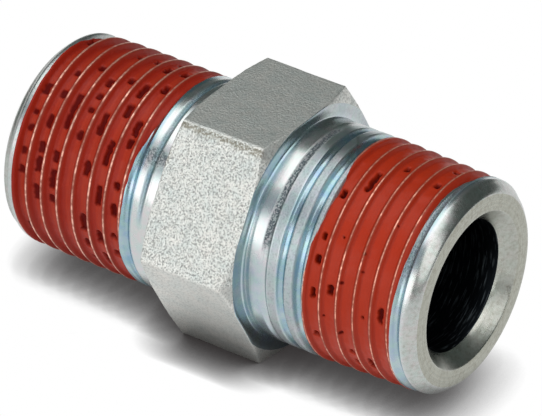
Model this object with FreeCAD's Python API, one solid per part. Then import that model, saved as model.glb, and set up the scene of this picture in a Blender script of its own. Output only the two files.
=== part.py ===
import FreeCAD, Part
import math
import os
from FreeCAD import Vector

# Hydraulic adapter: a hexagon nipple forged and turned in one piece of steel, with a male
# tapered pipe thread at each end and a band of dried sealant on each thread.
# The axis is X and the long-necked end points to +X. The origin is on the axis at the
# middle of the hexagon, and one flat of the hexagon faces down. Sizes are millimetres.

# Overall
overall_length = 46.8

# Hexagon. Its corners are chamfered by a cone that starts a little outside the flats
across_flats = 23.81
hexagon_length = 9.9
hexagon_chamfer_rise = 0.3
hexagon_chamfer_angle = 20.0

# Through bore, with a cone seat in the long end
bore_diameter = 13.0
seat_width = 1.3
seat_depth = 1.45

# Tapered pipe thread: 14 turns to the inch, taper 1 in 16 on the diameter, 60 degree form.
# The diameter is that of the crests at the end faces
thread_pitch = 25.4 / 14
thread_taper = 1 / 16
thread_end_diameter = 20.9

# First crest of each thread, cut to a chamfer that runs down to the end face
lead_truncation = 0.05
lead_chamfer = 0.95

# Steel core that each sealant band sits on, below the crests at the end face
core_depth = 0.65

# Long neck, between the hexagon and its sealant: a plain collar, then the turns where the
# threading die ran out. The relief is how far the neck lies below the nearest full crest
long_neck_length = 6.55
long_neck_relief = 0.02
long_crest_from_end = 12.59
runout_turns = 1.8
runout_depth = 0.7
runout_half_width = 0.76

# Short neck
short_neck_length = 3.85
short_neck_relief = 0.3
short_crest_from_end = 2.47

# Sealant bands: film over the crests, depth of the valleys left between the crests, and
# bare thread between each band and the end face
sealant_film = 0.03
long_valley_depth = 0.45
short_valley_depth = 0.56
long_sealant_from_end = 2.4
short_sealant_from_end = 1.6

# How finely the helices are drawn: points in one turn
helix_points = 12

end_x = overall_length / 2
hexagon_end_x = hexagon_length / 2
long_neck_end_x = hexagon_end_x + long_neck_length
short_neck_end_x = hexagon_end_x + short_neck_length
core_radius = thread_end_diameter / 2 - core_depth
lead_radius = thread_end_diameter / 2 - lead_truncation
clear = 0.25


def crest_radius(distance_from_end):
    """Radius of the thread's crests at a distance along the axis from an end face."""
    return thread_end_diameter / 2 + thread_taper / 2 * distance_from_end


def helix_curve(offset, radius_at, first_turn, turns):
    """Right-handed helix along +X as one smooth curve.

    It crosses the +Y side at x = offset and then one pitch further on at each turn.
    radius_at gives its radius from x and the number of turns since first_turn.
    """
    points = []
    steps = int(round(turns * helix_points))
    for step in range(steps + 1):
        gone = step / helix_points
        x = offset + thread_pitch * (first_turn + gone)
        angle = 2 * math.pi * (first_turn + gone)
        radius = radius_at(x, gone)
        points.append(Vector(x, radius * math.cos(angle), radius * math.sin(angle)))
    curve = Part.BSplineCurve()
    curve.interpolate(Points=points, Parameters=[float(step) for step in range(steps + 1)])
    return curve


def strip(first, second):
    """Surface of straight lines from one helix to another with as many turns."""
    surface = Part.BSplineSurface()
    surface.buildFromPolesMultsKnots(
        [first.getPoles(), second.getPoles()],
        [2, 2],
        first.getMultiplicities(),
        [0.0, 1.0],
        first.getKnots(),
        False,
        False,
        1,
        first.Degree,
    )
    return surface.toShape()


def flat_face(*corners):
    return Part.Face(Part.makePolygon(list(corners) + [corners[0]]))


def closed_solid(faces):
    """Sew faces that meet edge to edge into one solid."""
    shell = Part.Shell(Part.Compound(faces).Faces)
    shell.sewShape()
    solid = Part.Solid(Part.Shell(shell.Faces))
    if solid.Volume < 0:
        solid.reverse()
    return solid


def revolved(points):
    """Solid turned about the X axis from (x, radius) points."""
    outline = Part.makePolygon([Vector(x, r, 0) for x, r in points + points[:1]])
    return Part.Face(outline).revolve(Vector(0, 0, 0), Vector(1, 0, 0), 360)


def hexagon():
    """Hexagon with flats up and down, its corners chamfered by a cone at both ends."""
    corner_radius = across_flats / 2 / math.cos(math.radians(30))
    corners = []
    for k in range(6):
        angle = math.radians(60 * k)
        y = corner_radius * math.cos(angle)
        z = corner_radius * math.sin(angle)
        corners.append(Vector(-hexagon_end_x, y, z))
    block = flat_face(*corners).extrude(Vector(hexagon_length, 0, 0))
    circle_radius = across_flats / 2 + hexagon_chamfer_rise
    outside = corner_radius + 1
    drop = (outside - circle_radius) * math.tan(math.radians(hexagon_chamfer_angle))
    envelope = revolved([
        (-hexagon_end_x, 0),
        (-hexagon_end_x, circle_radius),
        (-hexagon_end_x + drop, outside),
        (hexagon_end_x - drop, outside),
        (hexagon_end_x, circle_radius),
        (hexagon_end_x, 0),
    ])
    return block.common(envelope)


def runout_cutter(neck_radius):
    """V-shaped tool that cuts the grooves on the long neck, deeper and wider towards the thread.

    It starts just above the metal and soon cuts deep, as the die's chamfered teeth did, and it
    goes on past the end of the neck into the room of the sealant.
    """
    offset = end_x - long_crest_from_end + thread_pitch / 2
    last_turn = (long_neck_end_x - offset) / thread_pitch
    first_turn = last_turn - runout_turns
    turns = runout_turns + 0.6
    fade_in = 0.1

    def bottom(x, gone):
        ease = math.sqrt(min(gone / runout_turns, 1.0))
        return neck_radius + runout_depth * (fade_in - (1 + fade_in) * ease)

    def top(x, gone):
        return neck_radius + clear

    root = helix_curve(offset, bottom, first_turn, turns)
    left = helix_curve(offset - runout_half_width, top, first_turn, turns)
    right = helix_curve(offset + runout_half_width, top, first_turn, turns)
    return closed_solid([
        strip(left, root),
        strip(root, right),
        strip(right, left),
        flat_face(root.StartPoint, left.StartPoint, right.StartPoint),
        flat_face(root.EndPoint, left.EndPoint, right.EndPoint),
    ])


def turned_arm(neck_radius, neck_end_x, cutters):
    """One end of the body, drawn towards +X, with the room of its sealant turned away."""
    lead_x = end_x - lead_chamfer
    arm = revolved([
        (0, 0),
        (0, neck_radius),
        (lead_x, neck_radius),
        (lead_x, lead_radius),
        (end_x, lead_radius - lead_chamfer),
        (end_x, 0),
    ])
    for cutter in cutters:
        arm = arm.cut(cutter)
    sealant_room = revolved([
        (neck_end_x, core_radius),
        (neck_end_x, neck_radius + clear),
        (lead_x, neck_radius + clear),
        (lead_x, core_radius),
    ])
    return arm.cut(sealant_room)


def bore_tool():
    """Through bore with the cone seat at the long end."""
    bore = bore_diameter / 2
    return revolved([
        (-end_x, 0),
        (-end_x, bore),
        (end_x - seat_depth, bore),
        (end_x, bore + seat_width),
        (end_x, 0),
    ])


def adapter_body():
    long_neck_radius = crest_radius(end_x - long_neck_end_x) - long_neck_relief
    short_neck_radius = crest_radius(end_x - short_neck_end_x) - short_neck_relief
    long_arm = turned_arm(long_neck_radius, long_neck_end_x, [runout_cutter(long_neck_radius)])
    short_arm = turned_arm(short_neck_radius, short_neck_end_x, [])
    short_arm.rotate(Vector(0, 0, 0), Vector(0, 0, 1), 180)
    return hexagon().fuse([long_arm, short_arm]).cut(bore_tool())


def ridged_bar(crest_offset, crest_at, valley_depth, first_turn, turns):
    """Solid bar whose outside is a continuous screw of sharp crests with valleys between."""

    def crest(x, gone):
        return crest_at(x)

    def valley(x, gone):
        return crest_at(x) - valley_depth

    def axis(x, gone):
        return 0.0

    crests = []
    valleys = []
    for turn in range(first_turn, first_turn + turns + 1):
        crests.append(helix_curve(crest_offset, crest, turn, 1))
        valleys.append(helix_curve(crest_offset + thread_pitch / 2, valley, turn, 1))
    faces = []
    for k in range(turns):
        faces.append(strip(crests[k], valleys[k]))
        faces.append(strip(valleys[k], crests[k + 1]))
    for k in (0, turns):
        faces.append(strip(helix_curve(crest_offset, axis, first_turn + k, 1), crests[k]))
    starts = (crests[0].StartPoint, valleys[0].StartPoint, crests[1].StartPoint)
    ends = (crests[-2].EndPoint, valleys[-2].EndPoint, crests[-1].EndPoint)
    for near, low, far in (starts, ends):
        faces.append(flat_face(Vector(near.x, 0, 0), near, low, far, Vector(far.x, 0, 0)))
    return closed_solid(faces)


def sealant_band(sign, crest_from_end, neck_end_x, from_end, valley_depth):
    """Ring of dried sealant that fills the thread and follows its crests.

    sign is 1 at the long end and -1 at the short one.
    """
    outer_end_x = end_x - from_end
    low = min(sign * outer_end_x, sign * neck_end_x)
    high = max(sign * outer_end_x, sign * neck_end_x)
    crest_offset = sign * (end_x - crest_from_end)

    def crest_at(x):
        return crest_radius(end_x - sign * x) + sealant_film

    first_turn = math.floor((low - crest_offset) / thread_pitch) - 1
    last_turn = math.ceil((high - crest_offset) / thread_pitch) + 1
    turns = last_turn - first_turn
    bar = ridged_bar(crest_offset, crest_at, valley_depth, first_turn, turns)
    outside = crest_radius(end_x) + sealant_film + clear
    ring = revolved([
        (low, core_radius),
        (low, outside),
        (high, outside),
        (high, core_radius),
    ])
    return bar.common(ring)


nodes = {
    "adapter_body": adapter_body(),
    "long_end_sealant": sealant_band(
        1, long_crest_from_end, long_neck_end_x, long_sealant_from_end, long_valley_depth
    ),
    "short_end_sealant": sealant_band(
        -1, short_crest_from_end, short_neck_end_x, short_sealant_from_end, short_valley_depth
    ),
}

os.makedirs("parts", exist_ok=True)
for name, shape in nodes.items():
    shape.exportStep("parts/" + name + ".step")
    print(name, len(shape.Solids), "solid, valid", shape.isValid(), "volume", round(shape.Volume, 2))
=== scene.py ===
import math

import bpy
import numpy as np
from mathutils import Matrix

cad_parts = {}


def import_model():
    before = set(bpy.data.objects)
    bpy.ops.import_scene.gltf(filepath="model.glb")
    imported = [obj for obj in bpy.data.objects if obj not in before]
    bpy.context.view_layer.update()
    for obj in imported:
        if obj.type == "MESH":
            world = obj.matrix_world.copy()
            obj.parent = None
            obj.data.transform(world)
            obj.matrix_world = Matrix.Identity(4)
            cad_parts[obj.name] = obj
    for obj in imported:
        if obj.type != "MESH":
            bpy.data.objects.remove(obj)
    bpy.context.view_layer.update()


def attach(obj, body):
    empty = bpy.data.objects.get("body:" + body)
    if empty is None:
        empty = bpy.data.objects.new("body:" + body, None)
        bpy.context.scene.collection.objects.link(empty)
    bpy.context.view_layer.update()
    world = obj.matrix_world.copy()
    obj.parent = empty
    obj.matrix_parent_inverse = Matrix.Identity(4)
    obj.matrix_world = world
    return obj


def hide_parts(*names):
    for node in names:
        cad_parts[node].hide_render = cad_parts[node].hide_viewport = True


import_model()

# Hydraulic adapter: a zinc-plated steel hexagon nipple with a tapered pipe thread at each end
# and dried red sealant on both threads. Sizes are millimetres in the frame of the CAD model:
# the axis is X, the long-necked end points to +X and the origin is at the middle of the
# hexagon. Angles round the axis start at +Y and rise towards +Z. Where a table is given in
# degrees up from the front, 0 is the -Y side, 90 the top and -90 the bottom.
mm = 0.001

# Body
end_x = 23.4
bore_radius = 6.5
seat_mouth_radius = 7.8
seat_depth = 1.45
end_face_radius = 9.45
across_flats = 23.81
hexagon_end_x = 4.95
hexagon_chamfer_radius = 12.205
hexagon_chamfer_angle = 20.0
hexagon_chamfer_rounding = 0.08
hexagon_rim = 0.12
long_neck_radius = 10.802
short_neck_radius = 10.606
neck_fillet = 0.16
core_radius = 9.8
core_clearance = 0.05

# Long edges of the hexagon: how round they are worn, and how much rounder the one with the
# forging's flash is
edge_rounding = 0.34
edge_rounding_wave = 0.16
flash_rounding = 0.26
flash_rounding_wave = 0.08
flash_edge = 60

# Chamfer at both ends. It bulges a little in the middle
lead_chamfer = 0.95
lead_bulge = 0.28
lead_rounding = 0.16

# Threads: 14 turns to the inch, taper 1 in 16 on the diameter. Each crest line crosses the
# +Y side at its offset
thread_pitch = 25.4 / 14
thread_end_radius = 10.45
thread_half_taper = 1 / 32
long_crest_offset = 10.81
short_crest_offset = -20.93
flank_slope = math.tan(math.radians(60))
groove_root = 0.22
groove_root_rounding = 0.16
groove_edge_rounding = 0.08
neck_rounding = 0.02

# How deep the thread is cut along each end: it runs out towards the hexagon
long_thread_depth = (
    (6.35, 0.0), (6.6, 0.08), (7.0, 0.14), (8.8, 0.42), (10.6, 0.6), (11.6, 0.8), (12.4, 1.0),
    (20.4, 1.0), (21.2, 0.56), (21.8, 0.38), (23.4, 0.38),
)
short_thread_depth = (
    (-23.4, 0.6), (-21.9, 0.6), (-21.0, 1.0), (-9.6, 1.0), (-8.6, 0.42), (-7.8, 0.1),
    (-7.4, 0.0),
)

# Burr on the long neck: its place on top, how far it slants along the axis in each degree,
# and its height
burr_x = 9.4
burr_front = 98
burr_slant = 0.125
burr_height = 0.05

# Shallow groove turned into the short neck, on the front and top only
undercut_x = -6.93
undercut_half_width = 0.37
undercut_depth = 0.19

# Edges of the sealant, in degrees up from the front
long_band_inner_edge = (
    (-180, 11.3), (-90, 11.5), (-20, 11.6), (20, 11.5), (34, 11.55), (42, 11.75), (52, 11.7),
    (58, 11.85), (68, 11.75), (76, 11.35), (84, 11.1), (100, 10.85), (120, 10.8), (180, 11.3),
)
long_band_outer_edge = (
    (-180, 21.1), (-90, 21.0), (-20, 21.05), (0, 21.15), (50, 21.12), (70, 21.0), (85, 20.9),
    (110, 20.9), (180, 21.1),
)
short_band_inner_edge = (
    (-180, -8.7), (-90, -9.3), (-20, -9.35), (-10, -9.15), (0, -9.0), (10, -8.9), (40, -8.85),
    (65, -8.5), (72, -8.2), (100, -8.15), (180, -8.7),
)
short_band_outer_edge = (
    (-180, -21.8), (-60, -21.7), (-20, -21.8), (30, -21.9), (60, -22.02), (80, -22.1),
    (100, -21.95), (180, -21.8),
)

# Gaps in the sealant, each at the bottom of one valley: number of the crest before it, and
# degrees up from the front where it starts and ends
long_band_gaps = (
    (0, 59, 63), (0, 35, 39), (0, 23, 27), (0, 4, 10), (0, -22, -18),
    (1, 67, 81), (1, 9, 14), (2, 89, 93), (2, -27, -24), (4, 86, 90), (4, 3, 12),
)
short_band_gaps = (
    (-1, 55, 62), (-1, 42, 46), (-1, 33, 37), (-1, 20, 24), (-1, 9, 14),
    (0, 72, 76), (0, 56, 61), (0, 38, 46), (0, 24, 30), (0, 13, 22), (0, -4, 6),
    (1, 81, 85), (1, 41, 62), (1, 22, 28), (1, 7, 18), (1, -2, 3),
    (2, 72, 78), (2, 63, 67), (2, 54, 57), (2, 38, 43),
    (3, 79, 83), (3, 44, 57), (3, 21, 29), (3, -12, -1), (3, -25, -19),
    (4, 72, 83), (4, 58, 66), (4, 30, 44), (4, 8, 19), (4, -17, -8),
    (5, 80, 87), (5, 50, 59), (5, 43, 48), (5, 20, 24), (5, 5, 12), (5, -9, -6), (5, -22, -18),
)
long_gap_half_width = 0.24
short_gap_half_width = 0.3
gap_corner = 0.16

# Small pits in the long band's sealant: place along the axis, degrees up from the front, size
long_band_pits = (
    (17.0, 36, 0.24), (15.5, 18, 0.22), (17.3, 27, 0.16), (18.0, 3, 0.19), (15.7, -11, 0.26),
    (16.3, -25, 0.22), (14.3, 40, 0.13), (18.9, 55, 0.13), (13.9, -4, 0.15),
)

# Filling of each band: how deep the filled valleys lie below the crests, how much that varies,
# how far past each crest the thick filling starts, and how far from a crest the film is rubbed
long_band_fill = (0.34, 0.04, 0.3, 0.2)
short_band_fill = (0.56, 0.05, 0.62, 0.27)
fill_sag = 0.1
fill_rounding = 0.1

# Film of sealant on the steel: on the flanks, how much that varies, and along the crests
flank_film = 0.035
flank_film_wave = 0.012
crest_film = 0.02
crest_film_half_width = 0.1
gap_film = 0.02

# Edge of a band: the width over which it rises, how far it starts below the steel, how much
# lower it turns inwards, and how far from the edge it is down on the core
band_edge_rise = 0.16
band_edge_depth = 0.03
band_edge_drop = 0.1
band_edge_return = 0.25

# Points round each sealant band
long_band_columns = 600
short_band_columns = 520

# Camera, at the photograph's viewing angle. Its place is in metres
camera_place = (0.23270588, -0.34102064, 0.26753758)
camera_yaw = 34.21295
camera_pitch = 32.91731
camera_roll = 0.70167
camera_lens = 347.659

floor_z = -across_flats / 2
floor_half_width = 1500


def smooth_lower(a, b, reach):
    """The lower of two heights, with the corner between them rounded."""
    blend = np.clip(0.5 + 0.5 * (b - a) / reach, 0, 1)
    return b + (a - b) * blend - reach * blend * (1 - blend)


def smooth_upper(a, b, reach):
    """The higher of two heights, with the corner between them rounded."""
    return -smooth_lower(-a, -b, reach)


def ease(value, start, stop):
    """0 at start and 1 at stop, with a soft beginning and end."""
    t = np.clip((value - start) / (stop - start), 0, 1)
    return t * t * (3 - 2 * t)


def window(value, start, full, fading, gone):
    """0 before start, 1 from full to fading and 0 again where it is gone, with soft sides."""
    return ease(value, start, full) * ease(-value, -gone, -fading)


def ripple(x, angle, size, seed):
    """Random unevenness from -1 to 1 round the axis, with bumps of about the given size."""
    turns = max(4, round(2 * math.pi * thread_end_radius / size))
    table = np.random.default_rng(seed).uniform(-1, 1, (int(60 / size) + 2, turns))
    u = (x + 30) / size
    v = (angle / (2 * math.pi) * turns) % turns
    row = np.floor(u).astype(int)
    column = np.floor(v).astype(int)
    a = ease(u - row, 0, 1)
    b = ease(v - column, 0, 1)
    after = (column + 1) % turns
    column = column % turns
    low = table[row, column] * (1 - b) + table[row, after] * b
    high = table[row + 1, column] * (1 - b) + table[row + 1, after] * b
    return low * (1 - a) + high * a


def from_front(angle):
    """Degrees up from the front, from -180 to 180, of an angle round the axis."""
    return (180 - np.degrees(angle) + 180) % 360 - 180


def edge_at(edge, angle):
    """Place along the axis of a sealant edge."""
    degrees, places = zip(*edge)
    return np.interp(from_front(angle), degrees, places)


def crest_radius(x):
    return thread_end_radius + thread_half_taper * (end_x - np.abs(x))


def past_crest(x, angle, crest_offset):
    """Distance along the axis from the nearest crest line, up to half a pitch either way."""
    crest = crest_offset + thread_pitch * angle / (2 * math.pi)
    return (x - crest + thread_pitch / 2) % thread_pitch - thread_pitch / 2


def past_land(x, angle):
    """Distance from the nearest crest line on the long neck, where the grooves lie off centre."""
    shift = 0.15 * ease(-x, -12.3, -10.9)
    return past_crest(x - shift, angle, long_crest_offset)


def threaded_radius(x, past, neck_radius, depths):
    """Radius of the bare steel of one end, from its collar to its chamfered end face."""
    places, cuts = zip(*depths)
    depth = np.interp(x, places, cuts)
    top = smooth_lower(neck_radius, crest_radius(x), neck_rounding)
    past_root = thread_pitch / 2 - np.abs(past)
    wall = smooth_upper(past_root - groove_root, 0, groove_root_rounding) * flank_slope
    cut = smooth_lower(top, top - depth + wall, groove_edge_rounding)
    along = np.clip((end_x - np.abs(x)) / lead_chamfer, 0, 1)
    chamfer = end_face_radius + end_x - np.abs(x) + lead_bulge * along * (1 - along)
    return smooth_lower(cut, chamfer, lead_rounding)


def long_steel_radius(x, angle):
    past = past_land(x, angle)
    threaded = threaded_radius(x, past, long_neck_radius, long_thread_depth)
    return threaded + burr_height * on_burr(x, angle)


def short_steel_radius(x, angle):
    past = past_crest(x, angle, short_crest_offset)
    threaded = threaded_radius(x, past, short_neck_radius, short_thread_depth)
    return threaded - undercut_depth * in_undercut(x, angle)


# Marks on the steel, each 0 to 1, by place along the axis and degrees up from the front. Some
# of them also hold painted shade or painted reflection

def on_burr(x, angle):
    """The pale burr that the die dragged slantwise over the top of the long neck."""
    front = from_front(angle)
    across = np.abs(x - burr_x - burr_slant * (burr_front - front))
    return ease(-across, -0.13, -0.03) * window(front, 84, 87, 97, 101)


def in_undercut(x, angle):
    """The groove turned into the short neck, which runs out at both ends."""
    across = np.abs(x - undercut_x) / undercut_half_width
    return ease(-across, -1, 0) * window(from_front(angle), 4, 20, 130, 160)


def scuffed_and_shaded(x, angle):
    """Where the threading die left the steel rough: most on the torn step it began with. On the
    upper side of the long end's lead groove it is painted shade instead, which darkens the groove.
    """
    front = from_front(angle)
    torn = window(x, 6.6, 6.85, 7.4, 7.6) * window(front, 12, 26, 96, 110)
    lands = 0.55 * ease(-np.abs(past_land(x, angle)), -0.5, -0.36)
    lands = lands * window(x, 7.3, 7.6, 12.0, 12.2) * (0.3 + 0.7 * ease(-front, -88, -72))
    smear = 0.9 * ease(-np.hypot((x + 6.9) / 1.9, (front - 44) / 6.5), -1, -0.6)
    undercut = 0.7 * np.sqrt(in_undercut(x, angle))
    # Painted shade: dark specks and more roughness on the upper side of the lead groove
    lead = 0.85 * window(x, 21.0, 21.1, 21.75, 21.95) * ease(front, 22, 36)
    short_rim = 0.25 * ease(-x, 21.3, 21.6)
    return np.clip(np.max([torn, lands, smear, undercut, lead, short_rim], axis=0), 0, 1)


def passivate_and_painted_reflections(x, angle):
    """Where the blue passivate dried thick: in grooves and behind shoulders, less on the lands.
    Part of it is painted reflection: where the long neck meets the hexagon the teal stands for the
    collar mirrored in the hexagon's end face, and under the collar for its reflection of the floor.
    """
    front = from_front(angle)
    grooves = ease(np.abs(past_land(x, angle)), 0.36, 0.56) * window(x, 8.0, 8.4, 12.0, 12.2)
    lands = 0.3 * window(x, 7.4, 7.8, 12.0, 12.2)
    # Painted reflection: teal where the long neck meets the hexagon, for the collar mirrored in its
    # end face
    painted_foot_reflection = 0.8 * window(x, 4.7, 4.9, 5.1, 5.35) * (1 - 0.6 * ease(front, 80, 105))
    # Painted reflection: teal on the underside of the collar, for its reflection of the floor in
    # front
    painted_underside_reflection = 0.6 * ease(-front, -20, -6) * window(x, 5.0, 5.3, 6.5, 8.4)
    lead = 0.7 * window(x, 20.9, 21.2, 21.9, 22.3)
    beside_red = window(x, -9.9, -9.3, -7.95, -7.7)
    undercut = np.sqrt(in_undercut(x, angle))
    short_foot = 0.5 * window(x, -5.3, -5.1, -4.9, -4.7)
    films = [grooves, lands, painted_foot_reflection, painted_underside_reflection, lead, beside_red, undercut, short_foot]
    return np.max(films, axis=0)


def dull_and_shaded_ends(x, angle, radius):
    """The end faces, the seat and the burr, and less so the chamfers and shoulders: a darker,
    stained grey. The darker grey is partly painted shade, for the dimmer light these faces reflect.
    """
    chamfer = 0.35 * ease(np.abs(x), 22.25, 22.6) + 0.1 * ease(-x, 21.6, 22.0)
    seat = 0.75 * ease(-radius, -seat_mouth_radius - 0.05, -seat_mouth_radius) * ease(x, 20, 21)
    face = ease(np.abs(x), end_x - 0.03, end_x - 0.005) * ease(radius, 7.75, 7.85)
    shoulder = 0.4 * ease(-np.abs(x), -hexagon_end_x - 0.02, -hexagon_end_x)
    shoulder = shoulder * ease(radius, 11.0, 11.2)
    return np.max([chamfer, face, seat, shoulder, on_burr(x, angle)], axis=0)


def battered_edge(x, angle):
    """The ragged strip beside one long edge, where the forging's flash was trimmed."""
    below = flash_edge - from_front(angle)
    ragged = 3.1 + 1.0 * ripple(x, angle, 0.7, 14)
    ends = 4.72 + 0.1 * ripple(x, angle, 0.5, 15)
    strip = window(below, -0.2, 0.5, ragged - 0.9, ragged)
    strip = strip * ease(-np.abs(x), -ends, -ends + 0.25)
    dent = 0.8 * ease(-np.hypot((x + 4.9) / 0.45, (below - 15) / 5), -1, -0.4)
    return np.maximum(strip, dent)


def coarse_flat(angle):
    """1 on the upper front flat, which is coarsest, 0.3 on the top and behind it, 0 below."""
    front = from_front(angle)
    top = 0.3 * ease(front, 56.5, 60)
    return top + (1 - top) * window(front, -1, 1.5, 56.5, 59)


# Meshes

def round_the_axis(x, radius, angle):
    """Points in space from their places along the axis, radii and angles."""
    return np.stack([x, radius * np.cos(angle), radius * np.sin(angle)], -1).reshape(-1, 3)


def make_piece(name, points, faces):
    """Smooth-shaded mesh from points in millimetres."""
    mesh = bpy.data.meshes.new(name)
    mesh.from_pydata((np.asarray(points) * mm).tolist(), [], faces)
    mesh.validate()
    mesh.update()
    mesh.shade_smooth()
    piece = bpy.data.objects.new(name, mesh)
    bpy.context.scene.collection.objects.link(piece)
    return piece


def store(piece, name, values):
    """Keep one number per point on a piece, for its material to read."""
    layer = piece.data.attributes.new(name, "FLOAT", "POINT")
    layer.data.foreach_set("value", np.asarray(values, dtype=np.float32))


# Body: one closed grid of rows round the axis. Each row has its place along the axis, its radius
# and the number of the material that follows it
turned = 0
forged = 1
dark_inside = 2


def hexagon_columns():
    """Angles round the axis, closer together near the six corners."""
    near = np.linspace(-2.4, 2.4, 17)
    far = np.linspace(2.4, 57.6, 41)[1:-1]
    one_side = np.concatenate([near, far])
    sides = [one_side + 60 * k for k in range(6)]
    return np.radians(np.concatenate(sides))


def edge_wear(x, angle):
    """Radius that the long edges are rounded to, largest on the edge with the forging's flash."""
    flash = ease(-np.abs(from_front(angle) - flash_edge), -12, -6)
    wave = edge_rounding_wave + flash_rounding_wave * flash
    return edge_rounding + flash_rounding * flash + wave * ripple(x, angle, 1.2, 11)


def hexagon_radius(x, angle, edge_radius):
    """Radius of the hexagon with rounded long edges, cut by the cone of its corner chamfers."""
    half = across_flats / 2
    from_flat = np.abs((np.degrees(angle) % 60) - 30)
    flat = half / np.cos(np.radians(from_flat))
    to_corner = np.radians(30 - from_flat)
    centre = (half - edge_radius) / math.cos(math.radians(30))
    across = np.clip(edge_radius**2 - (centre * np.sin(to_corner)) ** 2, 0, None)
    rounded = centre * np.cos(to_corner) + np.sqrt(across)
    touch = np.degrees(np.arctan((half - edge_radius) * math.tan(math.radians(30)) / half))
    outline = np.where(from_flat > touch, rounded, flat)
    rise = (hexagon_end_x - np.abs(x)) / math.tan(math.radians(hexagon_chamfer_angle))
    return smooth_lower(outline, hexagon_chamfer_radius + rise, hexagon_chamfer_rounding)


def follow_thread(x, angle, start, full, full_stop, stop):
    """Shift a row along with the helix between start and stop, all the way in the middle part."""
    turn = ((np.degrees(angle) - 270) / 360) % 1
    shift = thread_pitch * (turn - 0.5)
    shift = shift * np.minimum(1, np.minimum(turn, 1 - turn) / 0.055)
    weight = np.interp(x, (start, full, full_stop, stop), (0, 1, 1, 0))
    return x + weight * shift


def bore_rows():
    """The bore, from the short end to the cone seat."""
    places = (-23.25, -12, 0, 12, 20, end_x - seat_depth - 0.04)
    return [(x, bore_radius, dark_inside) for x in places]


def seat_rows():
    """The cone seat and the end face of the long end."""
    seat_width = seat_mouth_radius - bore_radius
    rows = [(end_x - seat_depth + 0.04, bore_radius + 0.04, turned)]
    for t in (0.3, 0.6, 0.92):
        rows.append((end_x - seat_depth * (1 - t), bore_radius + seat_width * t, turned))
    rows.append((end_x - 0.03, seat_mouth_radius - 0.01, turned))
    for radius in (seat_mouth_radius + 0.06, 8.2, 8.6, 9.0, end_face_radius - 0.07):
        rows.append((end_x, radius, turned))
    rows.append((end_x - 0.02, end_face_radius - 0.015, turned))
    return rows


def core_rows(*places):
    """The plain core under a sealant band, just clear of the inside of the band."""
    return [(x, core_radius - core_clearance, turned) for x in places]


def fillet_rows(neck_radius, side):
    """The fillet between a neck and the hexagon, from +X to -X. side is 1 or -1."""
    rows = []
    for t in np.radians((0, 30, 60, 90))[::side]:
        x = hexagon_end_x + neck_fillet * (1 - math.sin(t))
        rows.append((side * x, neck_radius + neck_fillet * (1 - math.cos(t)), turned))
    return rows


def long_arm_rows(angle):
    """The lead of the long end, the core under its sealant and the long neck."""
    step = 0.07
    rows = []
    for x in np.concatenate([[23.33, 23.2, 23.0, 22.8], np.arange(22.64, 20.5, -step)]):
        place = follow_thread(x, angle, 20.4, 21.4, 21.5, 22.6)
        rows.append((place, long_steel_radius(place, angle), turned))
    rows += core_rows(20.45, 12.35)
    for x in np.arange(12.25, hexagon_end_x + neck_fillet + 0.05, -step):
        place = follow_thread(x, angle, 5.6, 7.4, 10.6, 12.3)
        rows.append((place, long_steel_radius(place, angle), turned))
    return rows + fillet_rows(long_neck_radius, 1)


def hexagon_rows(angle):
    """The hexagon: one end face, its edge, the flats and corners, then the other end face."""
    rim = hexagon_radius(hexagon_end_x, angle, edge_wear(hexagon_end_x, angle))
    face_rim = rim - hexagon_rim
    start = long_neck_radius + neck_fillet
    rows = []
    for t in (0.35, 0.7):
        rows.append((hexagon_end_x, start + (face_rim - start) * t, turned))
    rows.append((hexagon_end_x, face_rim, turned))
    rows.append((hexagon_end_x - 0.04, rim - 0.035, forged))
    close = [4.82, 4.72, 4.62, 4.54, 4.46, 4.4, 4.34, 4.26, 4.1]
    for x in close + list(np.arange(3.8, -3.9, -0.4)) + [-x for x in reversed(close)]:
        dents = 0.015 * ripple(x, angle, 1.6, 12)
        dents = dents + 0.05 * ripple(x, angle, 0.45, 16) * battered_edge(x, angle)
        radius = hexagon_radius(x, angle, edge_wear(x, angle)) - 0.015 + dents
        rows.append((x, radius, forged))
    rows.append((-hexagon_end_x + 0.04, rim - 0.035, forged))
    rows.append((-hexagon_end_x, face_rim, turned))
    start = short_neck_radius + neck_fillet
    rows.append((-hexagon_end_x, start + (face_rim - start) * 0.6, turned))
    return rows


def short_arm_rows(angle):
    """The short neck, the core under its sealant, the lead and the end face of the short end."""
    rows = fillet_rows(short_neck_radius, -1)
    for x in np.arange(-5.32, -9.9, -0.075):
        place = follow_thread(x, angle, -9.9, -8.6, -7.2, -5.4)
        rows.append((place, short_steel_radius(place, angle), turned))
    rows += core_rows(-9.95, -21.1)
    for x in np.concatenate([np.arange(-21.2, -22.7, -0.11), [-22.8, -23.0, -23.2, -23.33]]):
        rows.append((x, short_steel_radius(x, angle), turned))
    rows.append((-end_x + 0.02, end_face_radius - 0.015, turned))
    for radius in (end_face_radius - 0.07, 8.2, bore_radius + 0.12):
        rows.append((-end_x, radius, turned))
    return rows


def closed_grid_faces(rows, columns):
    """Faces of a grid whose last row and column meet the first ones."""
    index = np.arange(rows * columns).reshape(rows, columns)
    after = np.roll(index, -1, axis=1)
    below = np.roll(index, -1, axis=0)
    corner = np.roll(after, -1, axis=0)
    return np.stack([index, below, corner, after], -1).reshape(-1, 4)


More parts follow.
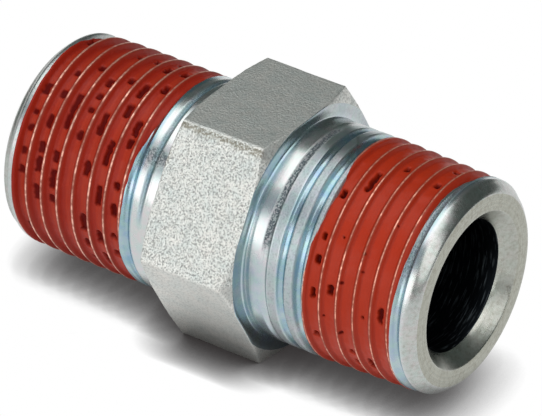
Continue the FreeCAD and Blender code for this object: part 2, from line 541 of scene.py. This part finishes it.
def steel_body():
    """The whole steel part as one closed skin."""
    angle = hexagon_columns()
    rows = bore_rows() + seat_rows() + long_arm_rows(angle)
    rows = rows + hexagon_rows(angle) + short_arm_rows(angle)
    x = np.array([np.broadcast_to(row[0], angle.shape) for row in rows])
    radius = np.array([np.broadcast_to(row[1], angle.shape) for row in rows])
    finish = np.array([row[2] for row in rows])
    faces = closed_grid_faces(*x.shape)
    body = make_piece("steel_body", round_the_axis(x, radius, angle), faces.tolist())
    body.data.polygons.foreach_set("material_index", np.repeat(finish, len(angle)))
    turns = np.tile(angle, (len(rows), 1))
    outside = radius > bore_radius + 1.5
    scratched_seat = 0.1 * (x > end_x - seat_depth + 0.1) * (radius < seat_mouth_radius)
    store(body, "scuff_and_shade", (scuffed_and_shaded(x, turns) * outside + scratched_seat).ravel())
    store(body, "blue", (passivate_and_painted_reflections(x, turns) * outside).ravel())
    store(body, "dull_and_shade", dull_and_shaded_ends(x, turns, radius).ravel())
    store(body, "edge", battered_edge(x, turns).ravel())
    store(body, "coarse", coarse_flat(turns).ravel())
    for material in (turned_zinc_plate(), forged_zinc_plate(), dark_bore_steel()):
        body.data.materials.append(material)
    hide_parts("adapter_body")
    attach(body, "root")


# Sealant bands

def hidden_gaps(crests, shown_from, shown_to, share, seed):
    """More gaps of the same kind on the side that the photograph doesn't show."""
    random = np.random.default_rng(seed)
    gaps = []
    for crest in crests:
        front = shown_to + random.uniform(2, 10)
        while front < shown_from + 354:
            length = random.uniform(4, 14)
            if random.random() < share:
                gaps.append((crest, front, front + length))
            front += length + random.uniform(4, 12)
    return gaps


def gap_mask(x, angle, crest_offset, gaps, half_width):
    """0 to 1 where the sealant has a gap at the bottom of a valley."""
    mask = np.zeros_like(x)
    arc = math.radians(1) * thread_end_radius
    ragged = 0.1 * ripple(x, angle, 0.35, 23)
    for crest, start, stop in gaps:
        middle = (start + stop) / 2
        reach = (stop - start) / 2 * arc
        front = (from_front(angle) - middle + 180) % 360 - 180
        turn = math.radians(180 - middle) / (2 * math.pi)
        valley = crest_offset + thread_pitch * (crest + 0.5 + turn)
        valley = valley - thread_pitch * front / 360
        across = np.maximum(np.abs(x - valley) - half_width + gap_corner, 0)
        along = np.maximum(np.abs(front) * arc - reach + gap_corner, 0)
        outside = np.hypot(across, along) - gap_corner
        mask = np.maximum(mask, ease(-outside - ragged, -0.1, 0.1))
    return mask


def pit_mask(x, angle, pits):
    """0 to 1 where the sealant has a small round pit."""
    mask = np.zeros_like(x)
    arc = math.radians(1) * thread_end_radius
    for place, front, size in pits:
        along = ((from_front(angle) - front + 180) % 360 - 180) * arc
        mask = np.maximum(mask, ease(-np.hypot(x - place, along), -size, -size * 0.4))
    return mask


# Rows of a band over one pitch, as distances past the crest, closest at its bare line. The
# distances are for a pitch of 1.8143 and scaled to the thread's
rows_past_crest = np.array([
    0.0, 0.045, 0.09, 0.15, 0.22, 0.3, 0.38, 0.46, 0.54, 0.62, 0.7, 0.79,
    0.907, 1.02, 1.11, 1.19, 1.27, 1.35, 1.43, 1.51, 1.59, 1.66, 1.72, 1.77,
]) * (thread_pitch / 1.8143)


def spiral_grid(crest_offset, angle, low, high):
    """Places along the axis and point numbers of rows that run along the helix.

    low and high are the band's two edges. Rows past an edge are folded onto the edge.
    """
    first = math.floor((low.min() - crest_offset) / thread_pitch) - 2
    last = math.ceil((high.max() - crest_offset) / thread_pitch) + 1
    along = np.concatenate([rows_past_crest + thread_pitch * k for k in range(first, last + 1)])
    x = crest_offset + along[:, None] + thread_pitch * angle[None, :] / (2 * math.pi)
    index = np.arange(x.size).reshape(x.shape)
    index = np.where(x <= low, index[0], index)
    index = np.where(x >= high, index[-1], index)
    return np.clip(x, low, high), index


def next_column(index):
    """Point numbers one column on. The last column meets the first one a whole turn further."""
    per_turn = len(rows_past_crest)
    beside = np.roll(index, -1, axis=1)
    beside[:, -1] = np.concatenate([index[per_turn:, 0], np.full(per_turn, index[-1, 0])])
    return beside


def ring_inside(angle, low, high, low_radius, high_radius):
    """Inside of a band: a row just under each edge and two rows on the core."""
    x = np.stack([high, high - band_edge_return, low + band_edge_return, low])
    core = np.full_like(angle, core_radius)
    radius = np.stack([high_radius - band_edge_drop, core, core, low_radius - band_edge_drop])
    return round_the_axis(x, radius, angle)


def strips(here, there):
    """Faces between the rows of one set of point numbers and the set one column on."""
    return np.stack([here[:-1], there[:-1], there[1:], here[1:]], -1).reshape(-1, 4)


def without_folds(quads):
    """Faces with each corner once, less those that are folded to a line or a point."""
    faces = [list(dict.fromkeys(quad)) for quad in quads.tolist()]
    return [face for face in faces if len(face) > 2]


def spiral_band(name, columns, crest_offset, low_edge, high_edge, surface):
    """Closed ring whose rows run along the helix.

    low_edge and high_edge give its two edges by angle, and surface gives from x and angle the
    radius and the values that its material reads.
    """
    angle = np.arange(columns) * 2 * math.pi / columns
    low = low_edge(angle)
    high = high_edge(angle)
    x, index = spiral_grid(crest_offset, angle, low, high)
    turns = np.tile(angle, (len(x), 1))
    radius, values = surface(x, turns)
    inside = ring_inside(angle, low, high, radius[0], radius[-1])
    points = np.concatenate([round_the_axis(x, radius, turns), inside])
    inside_index = x.size + np.arange(len(inside)).reshape(-1, columns)
    ring = np.concatenate([index[-1:], inside_index, index[:1]])
    outside_quads = strips(index, next_column(index))
    inside_quads = strips(ring, np.roll(ring, -1, axis=1))
    faces = without_folds(np.concatenate([outside_quads, inside_quads]))
    used = np.unique([corner for face in faces for corner in face])
    number = np.zeros(len(points), dtype=int)
    number[used] = np.arange(len(used))
    faces = [[int(number[corner]) for corner in face] for face in faces]
    band = make_piece(name, points[used], faces)
    for key, value in values.items():
        padded = np.concatenate([value.ravel(), np.zeros(len(inside))])
        store(band, key, padded[used])
    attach(band, "root")
    return band


def sealant_surface(x, angle, metal, past, from_edge, fill, hollows, seed):
    """Radius of a sealant band and the values for its material.

    metal is the radius of the steel below it, past the distance from the nearest crest line and
    from_edge that from the nearer edge. hollows is 1 in its gaps and pits.
    """
    fill_depth, fill_wave, fill_start, bare_width = fill
    film = flank_film + flank_film_wave * ripple(x, angle, 0.5, seed)
    film = np.where(np.abs(past) < crest_film_half_width, crest_film, film)
    level = crest_radius(x) - fill_depth
    level = level + fill_wave * ripple(x, angle, 1.1, seed + 1)
    level = level + 0.25 * fill_wave * ripple(x, angle, 0.4, seed + 2)
    sag = fill_sag * (np.abs(past) / thread_pitch * 2 - 0.5)
    filled = smooth_upper(metal + film, level - sag, fill_rounding)
    bottom = np.maximum(metal + gap_film, core_radius + 0.07)
    hollowed = filled + (np.minimum(bottom, filled) - filled) * hollows
    rise = ease(from_edge, 0, band_edge_rise)
    sunk = metal - band_edge_depth
    radius = sunk + (hollowed - sunk) * rise
    thick = ease(filled - metal, 0.05, 0.3) * (1 - hollows)
    thick = thick * ease(past % thread_pitch, fill_start, fill_start + 0.22)
    worn = np.clip(1 - np.abs(past) / bare_width, 0, 1) * rise
    return radius, {"thick": thick, "gap": hollows, "worn": worn}


def long_end_sealant_band():
    """Sealant on the long-necked end: the valleys are filled nearly level, with a few gaps."""
    gaps = list(long_band_gaps) + hidden_gaps(range(0, 6), -30, 100, 0.3, 21)

    def low_edge(angle):
        return edge_at(long_band_inner_edge, angle) + 0.06 * ripple(11.5, angle, 0.7, 31)

    def high_edge(angle):
        return edge_at(long_band_outer_edge, angle) + 0.02 * ripple(21.0, angle, 0.8, 32)

    def surface(x, angle):
        metal = long_steel_radius(x, angle)
        past = past_crest(x, angle, long_crest_offset)
        from_edge = np.minimum(x - low_edge(angle), high_edge(angle) - x)
        hollows = gap_mask(x, angle, long_crest_offset, gaps, long_gap_half_width)
        hollows = np.maximum(hollows, pit_mask(x, angle, long_band_pits))
        return sealant_surface(x, angle, metal, past, from_edge, long_band_fill, hollows, 41)

    band = spiral_band(
        "long_end_sealant_band", long_band_columns, long_crest_offset,
        low_edge, high_edge, surface,
    )
    band.data.materials.append(brick_red_thread_sealant())
    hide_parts("long_end_sealant")


def short_end_sealant_band():
    """Sealant on the short-necked end: a thin coat on the flanks, with many gaps at the roots."""
    gaps = list(short_band_gaps) + hidden_gaps(range(-1, 6), -30, 95, 0.75, 22)

    def low_edge(angle):
        return edge_at(short_band_outer_edge, angle) + 0.03 * ripple(-21.8, angle, 0.9, 33)

    def high_edge(angle):
        return edge_at(short_band_inner_edge, angle) + 0.05 * ripple(-8.8, angle, 0.7, 34)

    def surface(x, angle):
        metal = short_steel_radius(x, angle)
        past = past_crest(x, angle, short_crest_offset)
        from_edge = np.minimum(x - low_edge(angle), high_edge(angle) - x)
        hollows = gap_mask(x, angle, short_crest_offset, gaps, short_gap_half_width)
        return sealant_surface(x, angle, metal, past, from_edge, short_band_fill, hollows, 51)

    band = spiral_band(
        "short_end_sealant_band", short_band_columns, short_crest_offset,
        low_edge, high_edge, surface,
    )
    band.data.materials.append(dark_red_thread_sealant())
    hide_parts("short_end_sealant")


# Materials. In a Mix node of colours, input 0 is the factor, and 6 and 7 are the two colours

def colour(code):
    """Linear colour from an sRGB hex code."""
    parts = [int(code[k:k + 2], 16) / 255 for k in (1, 3, 5)]
    linear = [p / 12.92 if p <= 0.04045 else ((p + 0.055) / 1.055) ** 2.4 for p in parts]
    return (*linear, 1.0)


def node(tree, kind, inputs=None, **settings):
    """Add a node with its settings and links.

    An input is a value, a socket, or a node that is linked by the first output it has in use.
    """
    made = tree.nodes.new(kind)
    for name, value in settings.items():
        setattr(made, name, value)
    for name, value in (inputs or {}).items():
        if isinstance(value, bpy.types.Node):
            value = next(output for output in value.outputs if output.enabled)
        if isinstance(value, bpy.types.NodeSocket):
            tree.links.new(value, made.inputs[name])
        else:
            made.inputs[name].default_value = value
    return made


def new_material(name):
    """Empty node material, with its tree."""
    material = bpy.data.materials.new(name)
    material.use_nodes = True
    material.node_tree.nodes.clear()
    return material, material.node_tree


def show(tree, shader):
    node(tree, "ShaderNodeOutputMaterial", {"Surface": shader})


def turning_rings(tree, place):
    """Fine rings round the axis, by the distance along the axis and out from it together."""
    across = node(tree, "ShaderNodeVectorMath", {
        0: place, 1: (0.0, 1.0, 1.0),
    }, operation="MULTIPLY")
    out = node(tree, "ShaderNodeVectorMath", {0: across}, operation="LENGTH")
    split = node(tree, "ShaderNodeSeparateXYZ", {"Vector": place})
    along = node(tree, "ShaderNodeMath", {0: split.outputs["X"], 1: out}, operation="ADD")
    return node(tree, "ShaderNodeTexNoise", {
        "W": along, "Scale": 1 / (0.2 * mm), "Detail": 1.0,
    }, noise_dimensions="1D")


def silver_plate(tree, blotches, hue):
    """Bare zinc plate: silver that turns faintly blue in blotches and pink to green by hue."""
    silver = node(tree, "ShaderNodeMix", {
        0: blotches, 6: colour("#D2D2CC"), 7: colour("#BECCD4"),
    }, data_type="RGBA")
    sheen = node(tree, "ShaderNodeMix", {
        0: hue, 6: colour("#D6C6CA"), 7: colour("#BCCFC8"),
    }, data_type="RGBA")
    return node(tree, "ShaderNodeMix", {0: 0.5, 6: silver, 7: sheen}, data_type="RGBA")


def dulled_and_shaded_plate(tree, place, silver, rings):
    """The silver plate, turned a darker grey with grey-brown stains on the ends, the seat, the
    shoulders and the burr. The darker grey is partly painted shade.
    """
    dull_and_shade = node(tree, "ShaderNodeAttribute", attribute_name="dull_and_shade").outputs["Fac"]
    worn = node(tree, "ShaderNodeMapRange", {"Value": rings, "From Min": 0.3, "From Max": 0.7})
    grey = node(tree, "ShaderNodeMix", {
        0: worn, 6: colour("#A0A298"), 7: colour("#A9AA9F"),
    }, data_type="RGBA")
    plate = node(tree, "ShaderNodeMix", {0: dull_and_shade, 6: silver, 7: grey}, data_type="RGBA")
    stains = node(tree, "ShaderNodeTexNoise", {
        "Vector": place, "Scale": 1 / (0.4 * mm), "Detail": 4.0, "Roughness": 0.7,
    })
    stained = node(tree, "ShaderNodeMapRange", {
        "Value": stains, "From Min": 0.44, "From Max": 0.74, "To Max": 0.7,
    })
    dullish = node(tree, "ShaderNodeMath", {0: dull_and_shade, 1: 0.4}, operation="POWER")
    stain = node(tree, "ShaderNodeMath", {0: dullish, 1: stained}, operation="MULTIPLY")
    return node(tree, "ShaderNodeMix", {0: stain, 6: plate, 7: colour("#7E7A6C")}, data_type="RGBA")


def teal_tinted_plate(tree, plate, blotches, hue):
    """The plate under its blue to teal tint: passivate, unevenly thick where it pooled, and painted
    reflection where the long neck meets the hexagon and under its collar.
    """
    blue = node(tree, "ShaderNodeAttribute", attribute_name="blue").outputs["Fac"]
    thick = node(tree, "ShaderNodeMapRange", {
        "Value": blotches, "From Min": 0.3, "From Max": 0.62, "To Min": 0.45, "To Max": 1.0,
    })
    teal_tint = node(tree, "ShaderNodeMath", {0: blue, 1: thick}, operation="MULTIPLY")
    film = node(tree, "ShaderNodeMix", {
        0: hue, 6: colour("#8AA9C2"), 7: colour("#94B6B6"),
    }, data_type="RGBA")
    return node(tree, "ShaderNodeMix", {0: teal_tint, 6: plate, 7: film}, data_type="RGBA")


def scuffed_and_shaded_plate(tree, plate, grains, scuff_and_shade):
    """The plate with dark specks where the die scuffed it, closer together the rougher it is. On
    the upper side of the lead groove the specks are painted shade.
    """
    level = node(tree, "ShaderNodeMath", {0: scuff_and_shade, 1: -0.16, 2: 0.62}, operation="MULTIPLY_ADD")
    above = node(tree, "ShaderNodeMath", {0: grains, 1: level}, operation="SUBTRACT")
    speck = node(tree, "ShaderNodeMath", {0: above, 1: 16.0}, operation="MULTIPLY", use_clamp=True)
    dimmed = node(tree, "ShaderNodeMath", {0: speck, 1: 0.55, 2: 0.42}, operation="MULTIPLY_ADD")
    torn = node(tree, "ShaderNodeMath", {0: scuff_and_shade, 1: 1.6}, operation="POWER")
    rough_spot = node(tree, "ShaderNodeMath", {0: torn, 1: dimmed}, operation="MULTIPLY")
    return node(tree, "ShaderNodeMix", {
        0: rough_spot, 6: plate, 7: colour("#525C62"),
    }, data_type="RGBA")


def turned_zinc_plate():
    """Bright zinc electroplate with a clear blue passivate, over turned steel.

    It is a fairly sharp grey mirror. The passivate pools in the grooves as a teal tint, the
    ends are duller and warmer, and the die left specks and grains on the lands. Some of this is
    painted light: the teal where the long neck meets the hexagon and under its collar is painted
    reflection, the darker grey of the ends and seat is partly painted shade, and the specks on the
    upper side of the lead groove are painted shade. The turning leaves fine rings, 0.1 mm apart in
    life and drawn at 0.2 mm so they show.
    """
    material, tree = new_material("turned_zinc_plate")
    place = node(tree, "ShaderNodeTexCoord").outputs["Object"]
    scuff_and_shade = node(tree, "ShaderNodeAttribute", attribute_name="scuff_and_shade").outputs["Fac"]
    blotches = node(tree, "ShaderNodeTexNoise", {
        "Vector": place, "Scale": 1 / (2.2 * mm), "Detail": 3.0, "Roughness": 0.55,
    })
    grains = node(tree, "ShaderNodeTexNoise", {
        "Vector": place, "Scale": 1 / (0.17 * mm), "Detail": 2.0, "Roughness": 0.6,
    })
    hues = node(tree, "ShaderNodeTexNoise", {
        "Vector": place, "Scale": 1 / (0.9 * mm), "Detail": 3.0, "Roughness": 0.7,
    })
    hue = node(tree, "ShaderNodeMapRange", {"Value": hues, "From Min": 0.35, "From Max": 0.65})
    rings = turning_rings(tree, place)
    silver = silver_plate(tree, blotches, hue)
    dulled_and_shaded = dulled_and_shaded_plate(tree, place, silver, rings)
    tinted = teal_tinted_plate(tree, dulled_and_shaded, blotches, hue)
    finish = scuffed_and_shaded_plate(tree, tinted, grains, scuff_and_shade)
    gloss = node(tree, "ShaderNodeMapRange", {
        "Value": blotches, "From Min": 0.3, "From Max": 0.7, "To Min": 0.22, "To Max": 0.3,
    })
    roughness = node(tree, "ShaderNodeMath", {0: scuff_and_shade, 1: 0.3, 2: gloss}, operation="MULTIPLY_ADD")
    fine = node(tree, "ShaderNodeBump", {"Height": rings, "Strength": 0.15, "Distance": 0.02 * mm})
    coarse = node(tree, "ShaderNodeBump", {
        "Height": grains, "Strength": scuff_and_shade, "Distance": 0.08 * mm, "Normal": fine,
    })
    shader = node(tree, "ShaderNodeBsdfPrincipled", {
        "Base Color": finish, "Metallic": 1.0, "Roughness": roughness, "Normal": coarse,
    })
    show(tree, shader)
    return material


def forging_skin(tree, place, grain, coarse):
    """Grey of the blasted skin: pale peaks and darker valleys in each grain, blotched all over."""
    blotches = node(tree, "ShaderNodeTexNoise", {
        "Vector": place, "Scale": 1 / (1.8 * mm), "Detail": 3.0, "Roughness": 0.75,
    })
    tint = node(tree, "ShaderNodeMix", {
        0: blotches, 6: colour("#FFF9F2"), 7: colour("#D8E2E0"),
    }, data_type="RGBA")
    pale = node(tree, "ShaderNodeMapRange", {"Value": grain, "From Min": 0.36, "From Max": 0.54})
    valleys = node(tree, "ShaderNodeMix", {
        0: coarse, 6: colour("#CCCCCC"), 7: colour("#BEBEBE"),
    }, data_type="RGBA")
    peaks = node(tree, "ShaderNodeMix", {
        0: coarse, 6: colour("#EAEAEA"), 7: colour("#FFFFFF"),
    }, data_type="RGBA")
    skin = node(tree, "ShaderNodeMix", {0: pale, 6: valleys, 7: peaks}, data_type="RGBA")
    return node(tree, "ShaderNodeMix", {
        0: 1.0, 6: tint, 7: skin,
    }, data_type="RGBA", blend_type="MULTIPLY")


def forged_zinc_plate():
    """Zinc electroplate over forged, shot-blasted steel.

    The blasted forging skin under the plate makes it a dull grey that sparkles in grains
    0.2 mm across, coarsest on the upper front flat, with a grey-brown strip beside one edge.
    """
    material, tree = new_material("forged_zinc_plate")
    place = node(tree, "ShaderNodeTexCoord").outputs["Object"]
    edge = node(tree, "ShaderNodeAttribute", attribute_name="edge").outputs["Fac"]
    coarse = node(tree, "ShaderNodeAttribute", attribute_name="coarse").outputs["Fac"]
    grain = node(tree, "ShaderNodeTexNoise", {
        "Vector": place, "Scale": 1 / (0.19 * mm), "Detail": 2.0, "Roughness": 0.6,
    })
    skin = forging_skin(tree, place, grain, coarse)
    speck = node(tree, "ShaderNodeMapRange", {
        "Value": grain, "From Min": 0.46, "From Max": 0.66, "To Min": 0.85, "To Max": 0.0,
    })
    dirt = node(tree, "ShaderNodeMath", {0: edge, 1: speck}, operation="MULTIPLY")
    finish = node(tree, "ShaderNodeMix", {0: dirt, 6: skin, 7: colour("#8E897A")}, data_type="RGBA")
    roughness = node(tree, "ShaderNodeMapRange", {
        "Value": grain, "From Min": 0.3, "From Max": 0.7, "To Min": 0.64, "To Max": 0.4,
    })
    depth = node(tree, "ShaderNodeMath", {
        0: coarse, 1: 0.17 * mm, 2: 0.01 * mm,
    }, operation="MULTIPLY_ADD")
    bump = node(tree, "ShaderNodeBump", {"Height": grain, "Strength": 1.0, "Distance": depth})
    shader = node(tree, "ShaderNodeBsdfPrincipled", {
        "Base Color": finish, "Metallic": 1.0, "Roughness": roughness, "Normal": bump,
    })
    show(tree, shader)
    return material


def dark_bore_steel():
    """Drilled steel inside the bore, with a much darker base colour than the plate outside.

    It is nearly black, with faint rings and scratches that the drill left round it.
    """
    material, tree = new_material("dark_bore_steel")
    place = node(tree, "ShaderNodeTexCoord").outputs["Object"]
    along = node(tree, "ShaderNodeMapping", {"Vector": place, "Scale": (1.0, 0.1, 0.1)})
    streaks = node(tree, "ShaderNodeTexNoise", {
        "Vector": along.outputs["Vector"], "Scale": 1 / (0.22 * mm), "Detail": 3.0,
    })
    scratch = node(tree, "ShaderNodeMapRange", {
        "Value": streaks, "From Min": 0.54, "From Max": 0.72,
    })
    tint = node(tree, "ShaderNodeMix", {
        0: scratch, 6: colour("#1C2024"), 7: colour("#7C868C"),
    }, data_type="RGBA")
    bump = node(tree, "ShaderNodeBump", {"Height": streaks, "Strength": 0.4, "Distance": 0.05 * mm})
    shader = node(tree, "ShaderNodeBsdfPrincipled", {
        "Base Color": tint, "Metallic": 1.0, "Roughness": 0.42, "Normal": bump,
    })
    show(tree, shader)
    return material


def sealant_red(tree, thin, thick, mottle, beads):
    """Red of the resin: darker where it is thin and brighter where it is thick, with mottling."""
    thickness = node(tree, "ShaderNodeAttribute", attribute_name="thick").outputs["Fac"]
    mottled = node(tree, "ShaderNodeMath", {
        0: mottle, 1: 0.35, 2: -0.175,
    }, operation="MULTIPLY_ADD")
    beaded = node(tree, "ShaderNodeMath", {0: beads, 1: 0.8, 2: -0.4}, operation="MULTIPLY_ADD")
    uneven = node(tree, "ShaderNodeMath", {0: mottled, 1: beaded}, operation="ADD")
    blend = node(tree, "ShaderNodeMath", {0: thickness, 1: uneven}, operation="ADD", use_clamp=True)
    return node(tree, "ShaderNodeMix", {0: blend, 6: thin, 7: thick}, data_type="RGBA")


def bare_crest_line(tree, place, worn, beads):
    """0 to 1 along the crests where the film is worn through, in dots and longer stretches."""
    bare = node(tree, "ShaderNodeMapRange", {"Value": worn, "From Min": 0.54, "From Max": 0.86})
    dots = node(tree, "ShaderNodeMapRange", {
        "Value": beads, "From Min": 0.42, "From Max": 0.62, "To Min": 0.35, "To Max": 1.15,
    })
    stretches = node(tree, "ShaderNodeTexNoise", {
        "Vector": place, "Scale": 1 / (2.6 * mm), "Detail": 2.0,
    })
    stretch = node(tree, "ShaderNodeMapRange", {
        "Value": stretches, "From Min": 0.38, "From Max": 0.6, "To Min": 0.35, "To Max": 1.2,
    })
    dotted = node(tree, "ShaderNodeMath", {0: bare, 1: dots}, operation="MULTIPLY")
    return node(tree, "ShaderNodeMath", {
        0: dotted, 1: stretch,
    }, operation="MULTIPLY", use_clamp=True)


def thread_sealant(name, thin, thick, painted_gap_shade, metal):
    """Dried thread sealant: a satin film of pigmented resin brushed on and left to dry.

    It is darker where it lies thin on the flanks and brighter where it lies thick at the
    roots. In its gaps it is painted shade: a near-black red with little sheen. Along the crests
    it is worn through, and plated steel shows as a broken line.
    """
    material, tree = new_material(name)
    place = node(tree, "ShaderNodeTexCoord").outputs["Object"]
    gap = node(tree, "ShaderNodeAttribute", attribute_name="gap").outputs["Fac"]
    worn = node(tree, "ShaderNodeAttribute", attribute_name="worn").outputs["Fac"]
    mottle = node(tree, "ShaderNodeTexNoise", {
        "Vector": place, "Scale": 1 / (0.9 * mm), "Detail": 4.0, "Roughness": 0.6,
    })
    beads = node(tree, "ShaderNodeTexNoise", {
        "Vector": place, "Scale": 1 / (0.5 * mm), "Detail": 2.0,
    })
    red = sealant_red(tree, thin, thick, mottle, beads)
    # Painted shade: the gaps take a near-black red
    shaded = node(tree, "ShaderNodeMix", {0: gap, 6: red, 7: painted_gap_shade}, data_type="RGBA")
    rubbed = node(tree, "ShaderNodeMapRange", {
        "Value": worn, "From Min": 0.1, "From Max": 0.7, "To Max": 0.5,
    })
    brushed = node(tree, "ShaderNodeMix", {
        0: rubbed, 6: shaded, 7: colour("#6E3A28"),
    }, data_type="RGBA")
    line = bare_crest_line(tree, place, worn, beads)
    finish = node(tree, "ShaderNodeMix", {0: line, 6: brushed, 7: metal}, data_type="RGBA")
    roughness = node(tree, "ShaderNodeMapRange", {
        "Value": mottle, "From Min": 0.3, "From Max": 0.7, "To Min": 0.34, "To Max": 0.5,
    })
    # Less sheen in the gaps, so that their painted shade stays dark
    sheen = node(tree, "ShaderNodeMapRange", {
        "Value": gap, "From Max": 0.8, "To Min": 0.2, "To Max": 0.05,
    })
    bump = node(tree, "ShaderNodeBump", {"Height": mottle, "Strength": 0.25, "Distance": 0.06 * mm})
    shader = node(tree, "ShaderNodeBsdfPrincipled", {
        "Base Color": finish, "Metallic": line, "Roughness": roughness,
        "Specular IOR Level": sheen, "Normal": bump,
    })
    show(tree, shader)
    return material


def brick_red_thread_sealant():
    """Sealant of the long end: brick red, a little orange where it is thick."""
    return thread_sealant(
        "brick_red_thread_sealant",
        # The third colour is the painted shade in the gaps
        colour("#9C2912"), colour("#A62B0E"), colour("#520704"), colour("#EEAC96"),
    )


def dark_red_thread_sealant():
    """Sealant of the short end: a thinner coat, so a little darker and redder."""
    return thread_sealant(
        "dark_red_thread_sealant",
        # The third colour is the painted shade in the gaps
        colour("#942110"), colour("#A02A12"), colour("#5A0805"), colour("#F6BEAA"),
    )


def white_paper_sweep():
    """White paper floor: matt, and seen as plain white by the camera and in the metal.

    Its shadow is painted: what the camera and the metal see is an emission that darkens softly
    with ambient occlusion where the object is near, as under a wide light above and a little
    behind.
    """
    material, tree = new_material("white_paper_sweep")
    path = node(tree, "ShaderNodeLightPath")
    camera_or_glossy = node(tree, "ShaderNodeMath", {
        0: path.outputs["Is Camera Ray"], 1: path.outputs["Is Glossy Ray"],
    }, operation="MAXIMUM")
    seen = node(tree, "ShaderNodeMath", {
        0: camera_or_glossy, 1: path.outputs["Is Transmission Ray"],
    }, operation="MAXIMUM")
    leaning = node(tree, "ShaderNodeCombineXYZ", {"X": 0.1, "Y": 0.45, "Z": 0.887})
    # Painted shadow: ambient occlusion round a leaning normal sets how dark the seen floor is
    open_sky = node(tree, "ShaderNodeAmbientOcclusion", {
        "Distance": 4.5 * mm, "Normal": leaning.outputs["Vector"],
    }, samples=16)
    lit = node(tree, "ShaderNodeMath", {0: open_sky.outputs["AO"], 1: 2.2}, operation="POWER")
    shade = node(tree, "ShaderNodeMix", {
        0: lit, 6: colour("#282424"), 7: colour("#FFFFFF"),
    }, data_type="RGBA")
    white = node(tree, "ShaderNodeEmission", {"Color": shade, "Strength": 1.0})
    matt = node(tree, "ShaderNodeBsdfDiffuse", {"Color": colour("#F4F4F4")})
    surface = node(tree, "ShaderNodeMixShader", {0: seen, 1: matt, 2: white})
    show(tree, surface)
    return material


# Studio. Its sizes are metres, apart from the floor's

def floor():
    """Flat sheet that the lower flat of the hexagon lies on."""
    half = floor_half_width
    corners = [(-half, -half), (half, -half), (half, half), (-half, half)]
    points = [(x, y, floor_z) for x, y in corners]
    sheet = make_piece("floor", points, [[0, 1, 2, 3]])
    sheet.data.materials.append(white_paper_sweep())


def turn_and_move(thing, side, up, back, point):
    """Move an object to a point and turn it so that its axes are the three directions."""
    thing.matrix_world = np.column_stack([[side, up, back, point], [0, 0, 0, 1]]).tolist()


def softbox(name, direction, distance, size, radiance, tint=(1.0, 1.0, 1.0)):
    """Rectangular lamp that faces the object and shows with the given brightness in a mirror."""
    width, height = size
    light = bpy.data.lights.new(name, "AREA")
    light.color = tint
    light.shape = "RECTANGLE"
    light.size = width
    light.size_y = height
    light.energy = radiance * math.pi * width * height
    lamp = bpy.data.objects.new(name, light)
    back = np.array(direction) / np.linalg.norm(direction)
    side = np.cross((0.0, 0.0, 1.0), back)
    side = side / np.linalg.norm(side)
    up = np.cross(back, side)
    turn_and_move(lamp, side, up, back, back * distance)
    lamp.visible_camera = False
    bpy.context.scene.collection.objects.link(lamp)


def lamps():
    """Long boxes in front and above, a faint bluish card between them and a small one right."""
    bluish = (0.72, 0.84, 1.0)
    softbox("front_softbox", (0.0, -0.95, 0.305), distance=0.6, size=(1.3, 0.34), radiance=1.9)
    softbox(
        "gap_card", (0.0, -0.669, 0.743), distance=0.64, size=(1.3, 0.3), radiance=0.34,
        tint=bluish,
    )
    softbox("top_softbox", (0.0, -0.052, 1.0), distance=0.6, size=(1.4, 0.51), radiance=1.7)
    softbox("right_softbox", (0.90, -0.22, 0.42), distance=0.6, size=(0.34, 0.36), radiance=1.4)


def world():
    """Dim blue-grey room. The camera sees it white, as it does the floor."""
    room = bpy.data.worlds.new("studio")
    room.use_nodes = True
    tree = room.node_tree
    tree.nodes.clear()
    path = node(tree, "ShaderNodeLightPath")
    dim = node(tree, "ShaderNodeBackground", {"Color": colour("#A6B4B0"), "Strength": 0.22})
    white = node(tree, "ShaderNodeBackground", {"Color": colour("#FFFFFF")})
    mixed = node(tree, "ShaderNodeMixShader", {0: path.outputs["Is Camera Ray"], 1: dim, 2: white})
    node(tree, "ShaderNodeOutputWorld", {"Surface": mixed})
    bpy.context.scene.world = room


def camera():
    """Camera at the photograph's viewing angle."""
    yaw, pitch, roll = np.radians((camera_yaw, camera_pitch, camera_roll))
    back = np.array([
        math.sin(yaw) * math.cos(pitch), -math.cos(yaw) * math.cos(pitch), math.sin(pitch),
    ])
    right = np.array([math.cos(yaw), math.sin(yaw), 0.0])
    up = np.cross(back, right)
    side = math.cos(roll) * right + math.sin(roll) * up
    top = math.cos(roll) * up - math.sin(roll) * right
    lens = bpy.data.cameras.new("camera")
    lens.lens = camera_lens
    lens.sensor_width = 36
    lens.clip_start = 0.01
    seat = bpy.data.objects.new("camera", lens)
    turn_and_move(seat, side, top, back, camera_place)
    bpy.context.scene.collection.objects.link(seat)
    bpy.context.scene.camera = seat


bpy.context.scene.view_settings.view_transform = "Standard"
camera()
world()
floor()
lamps()
steel_body()
long_end_sealant_band()
short_end_sealant_band()
